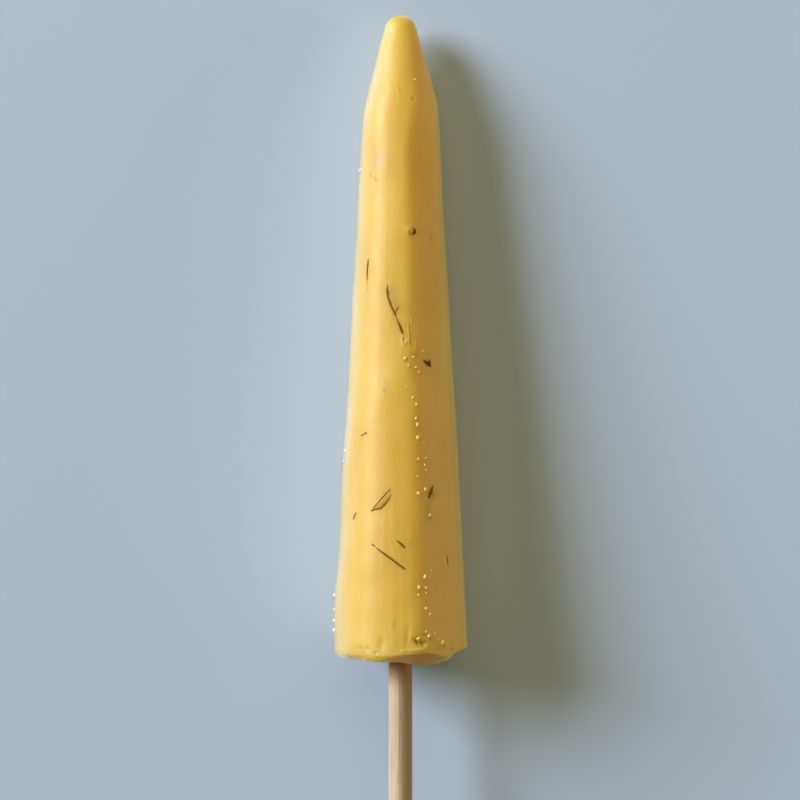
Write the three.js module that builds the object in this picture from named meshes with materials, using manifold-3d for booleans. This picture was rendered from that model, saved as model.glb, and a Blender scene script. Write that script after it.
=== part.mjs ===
// An ice lolly frozen in a slim cone-shaped mould, on a round wooden stick.
//
// It lies on its side. The side that shows faces up (+Z), the tip points along +Y, and the cone
// rests on a narrow flat along its underside, so its axis dips towards the tip by the cone's
// half-angle. The origin is on the resting surface, under the middle of the whole length.
// Sizes are in millimetres and angles in degrees.
//
// Inside the lolly group the axis is Y, with the base at 0 and the tip at ICE_LENGTH. A place on
// the surface is given by its angle round the axis (0 on the side that shows, positive towards
// +X) and its height along the axis.

import * as THREE from "three";
import { mergeVertices } from "three/addons/utils/BufferGeometryUtils.js";
import Module from "manifold-3d";

const wasm = await Module();
wasm.setup();

const { degToRad, lerp, smoothstep } = THREE.MathUtils;

// Driving sizes of the ice.
const ICE_LENGTH = 133.8;
const BASE_RADIUS = 14.1;
const TAPER = 0.0555; // radius lost for each millimetre towards the tip
const TIP_RADIUS = 3.4;
const TIP_HALF_ANGLE = degToRad(15.05);
const SHOULDER_ROUNDING = 0.32;
const CRISP_ROUNDING = 0.1; // of the shoulder right of the ridge
const CRISP_ANGLE = 30;
const CRISP_WIDTH = 25;

// The rolled mould gives the body eight soft flats: the direction that each one faces, and its
// distance from the axis as a share of the radius. The power says how sharp the ridges are.
const FLATS = [
  { angle: -11, distance: 1 },
  { angle: 39, distance: 0.975 },
  { angle: 84, distance: 1 },
  { angle: 131, distance: 1 },
  { angle: 180, distance: 1 },
  { angle: 226, distance: 0.99 },
  { angle: 270, distance: 1 },
  { angle: 310, distance: 1 },
];
const FLAT_SHARPNESS = 20;

// The section lies this far from a round one towards the eight flats, and further on the flat
// right of the ridge.
const ROUND_REACH = 1.0054;
const FLATNESS = 0.25;
const EXTRA_FLATNESS = 0.6;
const FLAT_SIDE = 39;
const FLAT_SIDE_WIDTH = 28;

// The base is level along Z. Along X it steps up left of its middle and lifts from there, sags a
// little right of its middle, and is worn away at the right.
const LEFT_STEP = 0.4;
const LEFT_STEP_RANGE = [-1, 4];
const LEFT_LIFT = 0.45;
const SAG = 0.32;
const SAG_PLACE = 6.5;
const SAG_WIDTH = 2.6;
const RIGHT_WEAR = 2.2;
const RIGHT_WEAR_RANGE = [9.2, 12.4];

// The rim is rounded, with a tight right corner, a tall bevel at the front right and a chip at
// the front left. There it is a straight chamfer that goes further in.
const RIM_INSET = 1.15; // how far the rim turns in, at most
const RIM_RADIUS = 1.15;
const RIM_TIGHTENING = 0.6; // radius lost at the right, and gained at the left
const BEVEL_ANGLE = 22;
const BEVEL_WIDTH = 20;
const BEVEL_RADIUS = 1.83;
const CHIP_ANGLE = -44;
const CHIP_WIDTH = 9;
const CHIP_RADIUS = -0.55;
const CHAMFERS = [
  { angle: 17, width: 31, inset: 1.4 },
  { angle: CHIP_ANGLE, width: CHIP_WIDTH, inset: 0.3 },
];
const CHAMFER_POWER = 4; // how suddenly a chamfer ends along the rim

// The stick, how much of it stands out, and the gap round it in its socket.
const STICK_RADIUS = 2.5;
const STICK_LENGTH = 150;
const STICK_OUT = 70;
const STICK_CHAMFER = 0.4;
const SOCKET_GAP = 0.3;

// How deep the resting flat is cut into the underside.
const REST_DEPTH = 0.15;

// Broad forms that the mould and the melt left: angle, height, width round the body, length
// along it, and how far the surface rises (or sinks, where negative).
const FORMS = [
  { angle: 90, height: 118, width: 7, length: 5, rise: 0.2 }, // full right shoulder
  { angle: -90, height: 121, width: 7, length: 6, rise: -0.25 }, // lean left side of the point
  { angle: 12, height: 113, width: 2.2, length: 3.6, rise: -0.2 }, // worn ridge at the shoulder
  { angle: -85, height: 75.5, width: 1.5, length: 2.5, rise: 0.12 },
  { angle: -43, height: 102.5, width: 2.4, length: 4, rise: -0.18 }, // scuffed hollow
  { angle: 11.2, height: 88.4, width: 0.9, length: 0.9, rise: 0.3 }, // blister beside the hook
  { angle: 6.3, height: 5.5, width: 0.9, length: 3, rise: -0.22 }, // run of melt above the rim
  { angle: -16, height: 4.3, width: 0.8, length: 1.6, rise: -0.2 },
  { angle: -41, height: 0.9, width: 2.6, length: 1.7, rise: -0.3 }, // above the chip
  { angle: -90, height: 13, width: 6, length: 5, rise: 0.3 }, // nearly upright lower left side
  { angle: -90, height: 3, width: 6, length: 3, rise: -0.25 },
  { angle: 14, height: 4.7, width: 1.6, length: 1.1, rise: -0.35 }, // hollow inside the lip
  { angle: 36, height: 4.6, width: 1.5, length: 1.5, rise: 0.25 },
  { angle: 140, height: 2.5, width: 5, length: 2, rise: -0.4 },
  { angle: -120, height: 1.2, width: 3.5, length: 1.8, rise: -0.7 },
  { angle: -100, height: 60, width: 5, length: 9, rise: -0.22 },
  { angle: 105, height: 34, width: 5, length: 12, rise: 0.2 },
  { angle: -135, height: 92, width: 4, length: 7, rise: 0.2 },
];

// The uneven forms fade out between these distances from the tip.
const TIP_SMOOTH = 2;
const TIP_UNEVEN = 14;

// A slow waver round the body: how high it is, its waves round the axis, its drift along it in
// radians for each millimetre, and its start.
const WAVERS = [
  { rise: 0.07, waves: 2, drift: 0.09, start: 0 },
  { rise: 0.05, waves: 3, drift: -0.21, start: 1 },
];

// Threads frozen into the side that shows: half-width, then places from end to end.
const THREADS = [
  { half: 0.22, places: [[-43.5, 82.7], [-44.8, 79.6], [-42.6, 76.2]] }, // upper left
  { half: 0.28, places: [[-15.4, 77.3], [-15.8, 75.8], [-11, 73], [-4.6, 70.6]] }, // the long one
  { half: 0.26, places: [[-5, 70.8], [-2.6, 69.6], [2.2, 67.3]] },
  { half: 0.16, places: [[-6, 71.5], [-1.6, 73]] }, // its side shoot
  { half: 0.3, places: [[16, 89], [17.4, 88.5], [16.8, 88], [14.6, 87.5]] }, // the hooked one
  { half: 0.32, places: [[26.3, 61.9], [31, 61.3], [35.8, 60.6]] }, // a crossed pair
  { half: 0.24, places: [[33.2, 62], [34.2, 61.5], [33.6, 60.9]] },
  { half: 0.18, places: [[-9, 35.9], [-18.5, 33.6], [-28, 31.3]] }, // a leaf-shaped pair
  { half: 0.2, places: [[-8.6, 34.5], [-12, 33.4], [-18.5, 31.9], [-28.5, 31.1]] },
  { half: 0.16, places: [[-46.3, 30.8], [-50.3, 29.2]] },
  { half: 0.24, places: [[-26.8, 24.4], [-19.5, 23.3], [-12, 22.1], [3.4, 19.5]] },
  { half: 0.22, places: [[-3.2, 25.3], [4.2, 23.7]] },
  { half: 0.34, places: [[33.5, 36.2], [30.6, 34.8], [27.4, 33.7]] }, // a short wedge
  { half: 0.16, places: [[48.4, 22.3], [49.2, 19.7]] },
  { half: 0.26, places: [[-43, 46.5], [-36.2, 47.1]] }, // two dark ends
];
const THREAD_SINK = 0.06;
const THREAD_DEPTH = 0.8; // as a share of its width
const THREAD_FULLNESS = 0.4; // power of the taper: the smaller, the blunter the ends
const PATH_STEP = 0.02; // share of a path that its direction is taken over

// Threads on the hidden sides, drawn by rule, clear of the underside.
const HIDDEN_THREADS = 14;
const HIDDEN_ANGLES = [104, 256];
const HIDDEN_HEIGHTS = [10, 108];
const HIDDEN_LENGTHS = [2, 8.5];
const HIDDEN_LEANS = [-70, 70];
const HIDDEN_BENDS = [-1.2, 1.2];
const HIDDEN_HALVES = [0.2, 0.34];
const UNDERSIDE_HALF_WIDTH = 27;

// Raised wrinkles of ice: the lip at the rim and the creases beside the long thread.
const WRINKLES = [
  { half: 0.3, places: [[2, 2.9], [13, 3.1], [19, 3.2], [22.5, 3.8], [23.7, 4.9]] },
  { half: 0.2, places: [[9.3, 70.1], [10.1, 65.2]] },
  { half: 0.2, places: [[13.4, 69.4], [12.3, 67.4]] },
  { half: 0.22, places: [[18.3, 65.6], [16.4, 63.9]] },
];
const WRINKLE_SINK = 0.02;

// The largest beads of refrozen melt on the side that shows: angle and height.
const LARGE_BEADS = [
  [17.9, 48.7],
  [17.9, 46.1],
  [17.4, 34.8],
  [24.9, 35.5],
  [22.4, 17.8],
  [15.4, 5.3],
  [24.9, 5.8],
  [38.4, 4.3],
];
const LARGE_BEAD_RADIUS = 0.44;

// The smaller beads. They follow the ridge on the side that shows, and two hidden ridges: angle
// and height of each cluster, its spread, and how many beads it has.
const BEAD_CLUSTERS = [
  { angle: 13, height: 61.5, across: 9, along: 3, count: 5 },
  { angle: 13, height: 54, across: 5, along: 3.5, count: 3 },
  { angle: 22, height: 47.5, across: 4, along: 3, count: 2 },
  { angle: 23, height: 41, across: 7, along: 2.2, count: 4 },
  { angle: 30, height: 33, across: 6, along: 3, count: 2 },
  { angle: 20, height: 15.5, across: 7, along: 1.4, count: 4 },
  { angle: 23, height: 10.8, across: 4, along: 1.2, count: 2 },
  { angle: 30, height: 5.6, across: 12, along: 1.2, count: 3 },
  { angle: -84, height: 10, across: 5, along: 4.5, count: 4 },
  { angle: -76, height: 42, across: 4, along: 2, count: 2 },
  { angle: 107, height: 66, across: 5, along: 9, count: 4 },
  { angle: 110, height: 22, across: 6, along: 11, count: 5 },
  { angle: 240, height: 48, across: 6, along: 14, count: 5 },
];
const BEAD_SMALLEST = 0.26;
const BEAD_LARGEST = 0.36;
const SEED = 4711;

// How finely the faceted solids are cut.
const ICE_COLUMNS = 56;
const DOME_ROWS = 5;
const WALL_ROWS = 38;
const ROW_CROWDING = 0.45; // spacing of the first wall rows against an even spacing
const RIM_ROWS = 5;
const BASE_ROWS = 3;
const THREAD_SIDES = 6;
const THREAD_ROWS = 7;
const STICK_SIDES = 28;
const MERGE_DISTANCE = 1e-4;

// Draws numbers from 0 to 1, always the same ones.
function makeDraw(seed) {
  let state = seed;
  return () => {
    state = (state * 16807) % 2147483647;
    return state / 2147483647;
  };
}

// The shortest turn from one direction to another.
function turnBetween(from, to) {
  return ((((to - from) % 360) + 540) % 360) - 180;
}

// A bell shape round a direction: 1 there, and about a third at its width to each side.
function bell(angle, centre, width, power = 2) {
  return Math.exp(-(Math.abs(turnBetween(centre, angle) / width) ** power));
}

// Reach of the section for an inner radius of 1: between a round one and a soft minimum over the
// flats.
function sectionAt(angle) {
  let sum = 0;
  for (const flat of FLATS) {
    const reach = Math.max(0, Math.cos(degToRad(angle - flat.angle))) / flat.distance;
    sum += reach ** FLAT_SHARPNESS;
  }
  const flatness = FLATNESS + EXTRA_FLATNESS * bell(angle, FLAT_SIDE, FLAT_SIDE_WIDTH);
  return lerp(ROUND_REACH, sum ** (-1 / FLAT_SHARPNESS), flatness);
}

const DOME_SWEEP = Math.PI / 2 - TIP_HALF_ANGLE;
const DOME_CENTRE = ICE_LENGTH - TIP_RADIUS;
const CONE_TOP = DOME_CENTRE + TIP_RADIUS * Math.sin(TIP_HALF_ANGLE);
const CONE_TOP_RADIUS = TIP_RADIUS * Math.cos(TIP_HALF_ANGLE);

// The wall's radius: the pointed tip and the body, whichever is slimmer, with a soft change
// between them at the shoulder.
function wallRadius(angle, height) {
  const body = (BASE_RADIUS - TAPER * height) * sectionAt(angle);
  const cone = CONE_TOP_RADIUS + (CONE_TOP - height) * Math.tan(TIP_HALF_ANGLE);
  const k = lerp(SHOULDER_ROUNDING, CRISP_ROUNDING, bell(angle, CRISP_ANGLE, CRISP_WIDTH));
  return -k * Math.log(Math.exp(-cone / k) + Math.exp(-body / k));
}

// How far the uneven surface stands off the plain wall: the broad forms and a slow waver.
function relief(angle, height) {
  const radius = BASE_RADIUS - TAPER * height;
  let rise = 0;
  for (const form of FORMS) {
    const across = (degToRad(turnBetween(form.angle, angle)) * radius) / form.width;
    const along = (height - form.height) / form.length;
    rise += form.rise * Math.exp(-across * across - along * along);
  }
  for (const waver of WAVERS) {
    const phase = waver.waves * degToRad(angle) + waver.drift * height + waver.start;
    rise += waver.rise * Math.sin(phase);
  }
  return rise * smoothstep(ICE_LENGTH - height, TIP_SMOOTH, TIP_UNEVEN);
}

function surfacePoint(angle, height, lift = 0) {
  const radius = wallRadius(angle, height) + relief(angle, height) + lift;
  const turn = degToRad(angle);
  return new THREE.Vector3(radius * Math.sin(turn), height, radius * Math.cos(turn));
}

// Outward direction of the surface, from two short steps across it.
const STEP_ROUND = 1;
const STEP_UP = 0.2;

function surfaceNormal(angle, height) {
  const round = surfacePoint(angle + STEP_ROUND, height).sub(surfacePoint(angle - STEP_ROUND, height));
  const up = surfacePoint(angle, height + STEP_UP).sub(surfacePoint(angle, height - STEP_UP));
  return up.cross(round).negate().normalize();
}

// The rim and the base. The wall ends where the rim's arc starts, and the arc turns the surface
// in to the base, which runs to the middle.
function rimRadius(angle) {
  const plain = RIM_RADIUS - RIM_TIGHTENING * Math.sin(degToRad(angle));
  const bevel = BEVEL_RADIUS * bell(angle, BEVEL_ANGLE, BEVEL_WIDTH);
  return plain + bevel + CHIP_RADIUS * bell(angle, CHIP_ANGLE, CHIP_WIDTH, CHAMFER_POWER);
}

function baseHeight(x) {
  const step = LEFT_STEP * (1 - smoothstep(x, ...LEFT_STEP_RANGE));
  const lift = LEFT_LIFT * Math.min(0, x / BASE_RADIUS) ** 2;
  const sag = SAG * Math.exp(-(((x - SAG_PLACE) / SAG_WIDTH) ** 2));
  return step + lift - sag + RIGHT_WEAR * smoothstep(x, ...RIGHT_WEAR_RANGE);
}

function rimStart(angle) {
  return baseHeight(BASE_RADIUS * Math.sin(degToRad(angle))) + rimRadius(angle);
}

function rimPoint(angle, sweep) {
  const round = rimRadius(angle);
  const drop = Math.sin(sweep);
  const height = rimStart(angle) - round * drop;
  const wall = surfacePoint(angle, height);
  let straight = 0;
  let inset = Math.min(round, RIM_INSET);
  for (const chamfer of CHAMFERS) {
    const share = bell(angle, chamfer.angle, chamfer.width, CHAMFER_POWER);
    straight = Math.max(straight, share);
    inset += chamfer.inset * share;
  }
  const turnedIn = lerp(1 - Math.cos(sweep), drop, straight);
  const reach = Math.hypot(wall.x, wall.z) - inset * turnedIn;
  const turn = degToRad(angle);
  return new THREE.Vector3(reach * Math.sin(turn), height, reach * Math.cos(turn));
}

function basePoint(angle, share) {
  const edge = rimPoint(angle, Math.PI / 2);
  const x = edge.x * share;
  const lift = (edge.y - baseHeight(edge.x)) * share ** 2;
  return new THREE.Vector3(x, baseHeight(x) + lift, edge.z * share);
}

// A sphere whose every vertex is moved: `place` gets the vertex's column angle round the axis,
// its row, and its own unit-sphere position.
function movedSphere(columns, rows, place) {
  const sphere = new THREE.SphereGeometry(1, columns, rows);
  const position = sphere.getAttribute("position");
  const uv = sphere.getAttribute("uv");
  const point = new THREE.Vector3();
  for (let i = 0; i < position.count; i += 1) {
    point.fromBufferAttribute(position, i);
    const row = Math.round((1 - uv.getY(i)) * rows);
    const placed = place(uv.getX(i) * 360 - 90, row, point);
    position.setXYZ(i, placed.x, placed.y, placed.z);
  }
  return sphere;
}

// The ice's surface, row by row from the tip over the wall and the rim to the base's middle.
function iceSurface() {
  const rows = DOME_ROWS + WALL_ROWS + RIM_ROWS + BASE_ROWS;
  return movedSphere(ICE_COLUMNS, rows, (angle, row) => {
    if (row <= DOME_ROWS) {
      const sweep = (DOME_SWEEP * row) / DOME_ROWS;
      const reach = TIP_RADIUS * Math.sin(sweep);
      const turn = degToRad(angle);
      const height = DOME_CENTRE + TIP_RADIUS * Math.cos(sweep);
      return new THREE.Vector3(reach * Math.sin(turn), height, reach * Math.cos(turn));
    }
    if (row <= DOME_ROWS + WALL_ROWS) {
      // The rows crowd towards the shoulder and open out down the body.
      const share = (row - DOME_ROWS) / WALL_ROWS;
      const eased = share * lerp(ROW_CROWDING, 1, share);
      return surfacePoint(angle, lerp(CONE_TOP, rimStart(angle), eased));
    }
    if (row <= DOME_ROWS + WALL_ROWS + RIM_ROWS) {
      return rimPoint(angle, ((row - DOME_ROWS - WALL_ROWS) / RIM_ROWS) * (Math.PI / 2));
    }
    return basePoint(angle, (rows - row) / BASE_ROWS);
  });
}

// A thin strand along places on the surface, tapered at both ends and sunk by `sink`.
function strand({ places, half }, sink) {
  const points = places.map(([angle, height]) => new THREE.Vector3(angle, height, 0));
  const path = new THREE.CatmullRomCurve3(points);
  return movedSphere(THREAD_SIDES, THREAD_ROWS, (_, row, unit) => {
    const share = row / THREAD_ROWS;
    const here = path.getPoint(share);
    const ahead = path.getPoint(Math.min(1, share + PATH_STEP));
    const behind = path.getPoint(Math.max(0, share - PATH_STEP));
    const normal = surfaceNormal(here.x, here.y);
    const back = surfacePoint(behind.x, behind.y).sub(surfacePoint(ahead.x, ahead.y)).normalize();
    const side = back.clone().cross(normal).normalize();
    const girth = Math.sqrt(Math.max(0, 1 - unit.y * unit.y));
    const round = girth > 0 ? (half * girth ** THREAD_FULLNESS) / girth : 0;
    return surfacePoint(here.x, here.y, -sink)
      .addScaledVector(side, unit.x * round)
      .addScaledVector(normal, unit.z * round * THREAD_DEPTH);
  });
}

// A closed mesh as a solid that can be joined and cut.
function solidOf(geometry) {
  const bare = geometry.clone();
  bare.deleteAttribute("normal");
  bare.deleteAttribute("uv");
  const merged = mergeVertices(bare, MERGE_DISTANCE);
  const mesh = new wasm.Mesh({
    numProp: 3,
    vertProperties: merged.getAttribute("position").array,
    triVerts: new Uint32Array(merged.index.array),
  });
  return new wasm.Manifold(mesh);
}

function geometryOf(solid) {
  const mesh = solid.getMesh();
  const geometry = new THREE.BufferGeometry();
  geometry.setAttribute("position", new THREE.BufferAttribute(mesh.vertProperties, 3));
  geometry.setIndex(new THREE.BufferAttribute(mesh.triVerts, 1));
  geometry.computeVertexNormals();
  return geometry;
}

// Places of the threads on the hidden sides: a short run through a drawn place, in a drawn
// direction and with a slight bend.
function hiddenThreads(draw) {
  const threads = [];
  while (threads.length < HIDDEN_THREADS) {
    const angle = lerp(...HIDDEN_ANGLES, draw());
    const height = lerp(...HIDDEN_HEIGHTS, draw());
    const length = lerp(...HIDDEN_LENGTHS, draw() ** 1.5);
    const lean = lerp(...HIDDEN_LEANS, draw());
    const bend = lerp(...HIDDEN_BENDS, draw());
    const half = lerp(...HIDDEN_HALVES, draw());
    const degreesPerMm = 180 / (Math.PI * (BASE_RADIUS - TAPER * height));
    const across = Math.sin(degToRad(lean)) * length * degreesPerMm;
    const along = Math.cos(degToRad(lean)) * length;
    const places = [
      [angle - across / 2, height - along / 2],
      [angle + bend * degreesPerMm, height],
      [angle + across / 2, height + along / 2],
    ];
    if (places.every(([place]) => Math.abs(turnBetween(180, place)) > UNDERSIDE_HALF_WIDTH)) {
      threads.push({ half, places });
    }
  }
  return threads;
}

// One small bead, sunk by a third of its radius.
function bead(angle, height, radius) {
  const shape = new THREE.OctahedronGeometry(radius, 1);
  const centre = surfacePoint(angle, height, -radius / 3);
  return shape.translate(centre.x, centre.y, centre.z);
}

function beadsOf(cluster, draw) {
  const beads = [];
  for (let i = 0; i < cluster.count; i += 1) {
    const angle = cluster.angle + cluster.across * (2 * draw() - 1);
    const height = cluster.height + cluster.along * (2 * draw() - 1);
    beads.push(bead(angle, height, lerp(BEAD_SMALLEST, BEAD_LARGEST, draw() ** 2)));
  }
  return beads;
}

// The socket that the stick sits in, open at the base.
function socketShape() {
  const depth = STICK_LENGTH - STICK_OUT + SOCKET_GAP;
  const radius = STICK_RADIUS + SOCKET_GAP;
  const shape = new THREE.CylinderGeometry(radius, radius, depth + STICK_OUT, STICK_SIDES);
  return shape.translate(0, (depth - STICK_OUT) / 2, 0);
}

// A block whose top face is the resting plane, along the cone's underside.
const LEAN = Math.atan(TAPER);
const REST_DISTANCE = BASE_RADIUS - REST_DEPTH;

function restBlock() {
  const depth = BASE_RADIUS;
  const block = new THREE.BoxGeometry(4 * BASE_RADIUS, 4 * ICE_LENGTH, depth);
  block.translate(0, 0, -depth / 2);
  block.rotateX(LEAN);
  return block.translate(0, 0, -REST_DISTANCE);
}

function makeIce() {
  const draw = makeDraw(SEED);
  const threads = [...THREADS, ...hiddenThreads(draw)].map((thread) => strand(thread, THREAD_SINK));
  const wrinkles = WRINKLES.map((wrinkle) => strand(wrinkle, WRINKLE_SINK));
  const large = LARGE_BEADS.map(([angle, height]) => bead(angle, height, LARGE_BEAD_RADIUS));
  const small = BEAD_CLUSTERS.flatMap((cluster) => beadsOf(cluster, draw));
  let solid = solidOf(iceSurface());
  for (const piece of [...threads, ...wrinkles, ...large, ...small]) {
    solid = solid.add(solidOf(piece));
  }
  solid = solid.subtract(solidOf(socketShape()));
  solid = solid.subtract(solidOf(restBlock()));
  const material = new THREE.MeshStandardMaterial({ color: "#efc867", roughness: 0.5, metalness: 0 });
  const mesh = new THREE.Mesh(geometryOf(solid), material);
  mesh.name = "ice";
  return mesh;
}

// The stick: a plain round rod with its two ends eased, turned about its own axis.
function makeStick() {
  const r = STICK_RADIUS;
  const c = STICK_CHAMFER;
  const outline = [
    [0, 0],
    [r - c, 0],
    [r, c],
    [r, STICK_LENGTH - c],
    [r - c, STICK_LENGTH],
    [0, STICK_LENGTH],
  ].map(([x, y]) => new THREE.Vector2(x, y));
  const shape = new THREE.LatheGeometry(outline, STICK_SIDES);
  const material = new THREE.MeshStandardMaterial({ color: "#d9b892", roughness: 0.7, metalness: 0 });
  const mesh = new THREE.Mesh(shape, material);
  mesh.name = "stick";
  mesh.position.y = -STICK_OUT;
  return mesh;
}

// The lolly lies down: its axis leans until the underside's flat is level on z = 0.
const lolly = new THREE.Group();
lolly.add(makeIce(), makeStick());
lolly.rotation.x = -LEAN;
lolly.position.z = REST_DISTANCE * Math.cos(LEAN);
lolly.position.y = (-(ICE_LENGTH - STICK_OUT) / 2) * Math.cos(LEAN);

const part = new THREE.Group();
part.add(lolly);

export default part;
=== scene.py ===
"""The looks of a slim yellow ice lolly on a round stick, lying with its shown side up.

The lolly is worked out upright, in millimetres, with its axis along Y, its base at height 0 and
its shown side towards +Z. A place on it is an angle round the axis, 0 on the shown side and
positive towards +X, and a height along the axis. laid_down() then puts every point where the
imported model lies, in metres.
"""

import bpy
import numpy as np
from mathutils import Matrix, Vector


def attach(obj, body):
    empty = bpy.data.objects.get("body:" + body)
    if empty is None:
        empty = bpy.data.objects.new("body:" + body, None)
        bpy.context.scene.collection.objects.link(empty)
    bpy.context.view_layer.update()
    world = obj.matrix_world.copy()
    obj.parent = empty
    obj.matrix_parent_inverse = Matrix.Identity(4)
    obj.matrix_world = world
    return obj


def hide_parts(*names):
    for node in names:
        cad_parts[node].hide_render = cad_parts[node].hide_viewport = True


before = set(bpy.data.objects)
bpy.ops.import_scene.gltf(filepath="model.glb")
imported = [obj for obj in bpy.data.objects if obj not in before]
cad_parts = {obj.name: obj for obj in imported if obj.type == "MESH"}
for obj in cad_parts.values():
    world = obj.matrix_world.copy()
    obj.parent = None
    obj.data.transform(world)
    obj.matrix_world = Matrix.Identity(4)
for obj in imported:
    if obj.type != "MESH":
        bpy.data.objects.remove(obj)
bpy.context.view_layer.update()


# How the lolly lies
# The frozen cone rests on a narrow flat along its underside, so its axis dips towards the tip
# by the cone's half-angle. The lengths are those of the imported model.

ICE_LENGTH = 133.8
BASE_RADIUS = 14.1
TAPER = 0.0555  # radius lost for each millimetre towards the tip
STICK_OUT = 70.0
REST_DEPTH = 0.15
LEAN = np.arctan(TAPER)
LIFT = (BASE_RADIUS - REST_DEPTH) * np.cos(LEAN)
SHIFT = -(ICE_LENGTH - STICK_OUT) / 2 * np.cos(LEAN)
METRES = 0.001


def laid_down(points):
    """Points of the upright lolly in millimetres, as they lie, in metres: they turn about X by
    the lean, tip down, then rise until the flat is on the floor and slide to the middle."""
    x, y, z = np.moveaxis(np.asarray(points, float), -1, 0)
    lying_y = y * np.cos(LEAN) + z * np.sin(LEAN) + SHIFT
    lying_z = z * np.cos(LEAN) - y * np.sin(LEAN) + LIFT
    return np.stack([x, lying_y, lying_z], -1) * METRES


# The camera
# It looks straight at the shown side, square to the lolly's axis, with the tip at the top and
# the stick running out of the frame at the bottom.

PICTURE_SIDE = 800  # pixels
PIXELS_PER_MM = 4.8
AXIS_COLUMN = 400.4  # pixel column of the lolly's axis
BASE_ROW = 658.0  # pixel row of height 0 on the axis
CAMERA_DISTANCE = 500.0
SENSOR = 36.0

aim_height = (BASE_ROW - PICTURE_SIDE / 2) / PIXELS_PER_MM
aim_across = (PICTURE_SIDE / 2 - AXIS_COLUMN) / PIXELS_PER_MM
seen_width = PICTURE_SIDE / PIXELS_PER_MM

camera_data = bpy.data.cameras.new("camera")
camera_data.sensor_width = SENSOR
camera_data.lens = SENSOR * CAMERA_DISTANCE / seen_width
camera_data.clip_start = 0.01
camera_data.clip_end = 20
camera = bpy.data.objects.new("camera", camera_data)
bpy.context.scene.collection.objects.link(camera)
camera.matrix_world = (
    Matrix.Translation(Vector(laid_down([aim_across, aim_height, CAMERA_DISTANCE])))
    @ Matrix.Rotation(-LEAN, 4, "X")
)
bpy.context.scene.camera = camera


# The ice
# One piece of frozen yellow milk ice from a slim rolled mould: a pointed tip, a scalloped
# shoulder, eight soft flats down to a rounded rim, and a socket that the stick is frozen into.

TIP_RADIUS = 3.4
TIP_HALF_ANGLE = np.radians(15.05)
SHOULDER_ROUNDING = 0.32
CRISP_ROUNDING = 0.1  # of the shoulder right of the ridge
CRISP_ANGLE = 30
CRISP_WIDTH = 25
FLATS = [(-11, 1), (39, 0.975), (84, 1), (131, 1), (180, 1), (226, 0.99), (270, 1), (310, 1)]
FLAT_SHARPNESS = 20
FLATNESS = 0.25  # how far the round section goes towards the eight flats
EXTRA_FLATNESS = 0.6  # as much more on the flat right of the ridge
FLAT_SIDE = 39
FLAT_SIDE_WIDTH = 28
ROUND_REACH = 1.0054  # reach of the round section, which leaves the width as it is
RIDGE_ANGLE = 13  # the ridge between the first two flats
RIDGE_WIDTH = 30  # how much of the wall beside it turns with it
# The ridge wanders as it goes down: height, and how many degrees it has turned there.
RIDGE_TURNS = [
    (0, 0), (8, -1.5), (12, 2), (15, -1.5), (21, 1.5), (25, -1), (29.5, 3), (35, 0),
    (40, -1), (44, 1.5), (49, -2.5), (54.5, 5.5), (58, -5), (64, -6), (70, -7.5), (76.5, -2.5),
    (82, -7), (86.5, 0), (91, -10), (98, -7.5), (106, -7.5), (111, 1), (118, 3),
]
RIDGE_SOFTENING = (-1.2, -0.6, 0, 0.6, 1.2)  # offsets that the turn is averaged over
LEFT_STEP = 0.4  # the base is this much shorter left of its middle
LEFT_STEP_RANGE = (4.0, -1.0)
LEFT_LIFT = 0.45  # and rises by as much more to the left edge
RIGHT_WEAR = 2.2  # it is worn this much shorter at the right edge
RIGHT_WEAR_RANGE = (9.2, 12.4)
SAG = 0.32  # and it hangs lower a little right of its middle
SAG_PLACE = 6.5
SAG_WIDTH = 2.6
RIM_INSET = 1.15
RIM_RADIUS = 1.15
RIM_TIGHTENING = 0.6
BEVEL_ANGLE = 22  # the rim is tallest here
BEVEL_WIDTH = 20
BEVEL_RADIUS = 1.83
CHIP_ANGLE = -44
CHIP_WIDTH = 9
CHIP_RADIUS = -0.55
# Chamfers in the rim: angle, half-width and extra inset.
CHAMFERS = [(17, 31, 1.4), (CHIP_ANGLE, CHIP_WIDTH, 0.3)]
CHAMFER_POWER = 4  # the higher, the more abrupt a chamfer's ends
STICK_RADIUS = 2.5
STICK_LENGTH = 150.0

# Broad forms: angle, height, width round the body, length along it, and rise.
FORMS = [
    (90, 118, 7, 5, 0.2),  # full right shoulder
    (-90, 121, 7, 6, -0.25),  # lean left side of the point
    (12, 113, 2.2, 3.6, -0.2),  # worn ridge at the shoulder
    (-85, 75.5, 1.5, 2.5, 0.12),
    (-43, 102.5, 2.4, 4, -0.18),  # scuffed hollow
    (11.2, 88.35, 0.9, 0.9, 0.3),  # blister beside the hooked thread
    (6.3, 5.5, 0.6, 3, -0.22),  # run of melt above the rim
    (-16, 4.3, 0.8, 1.6, -0.2),
    (-41, 0.9, 2.6, 1.7, -0.3),  # chip in the rim
    (-90, 13, 6, 5, 0.3),  # nearly upright lower left side
    (-90, 3, 6, 3, -0.25),
    (14, 4.7, 1.6, 1.1, -0.35),  # hollow inside the lip
    (36, 4.6, 1.5, 1.5, 0.25),
    (140, 2.5, 5, 2, -0.4),
    (-120, 1.2, 3.5, 1.8, -0.7),
    (-100, 60, 5, 9, -0.22),
    (105, 34, 5, 12, 0.2),
    (-135, 92, 4, 7, 0.2),
]
WAVERS = [(0.07, 2, 0.09, 0), (0.05, 3, -0.21, 1)]  # rise, waves round, drift along, start

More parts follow.
